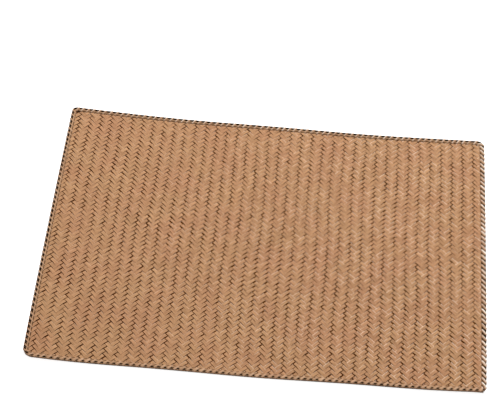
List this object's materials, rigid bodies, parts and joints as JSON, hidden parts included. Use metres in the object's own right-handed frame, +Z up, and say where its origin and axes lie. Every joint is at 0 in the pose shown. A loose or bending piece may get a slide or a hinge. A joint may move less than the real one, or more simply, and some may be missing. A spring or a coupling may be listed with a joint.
{
  "type": "plaited pandanus table mat",
  "caption": "Flat rectangular mat plaited corner to corner from narrow leaf strips, with a whipped border; it lies on a table under a plate, lamp or vase",
  "frame": {"origin": "middle of the mat, on the surface it lies on", "axes": "+X along the long side, +Y towards the far long side, +Z up"},
  "size_m": [0.4508, 0.324, 0.0057],
  "materials": {
    "pandanus": "dry plaited leaf with a faint sheen",
    "whipping": "dry leaf strand with a faint sheen"
  },
  "bodies": {
    "root": {"woven_panel": "pandanus", "whipped_border": "whipping"}
  },
  "joints": []
}
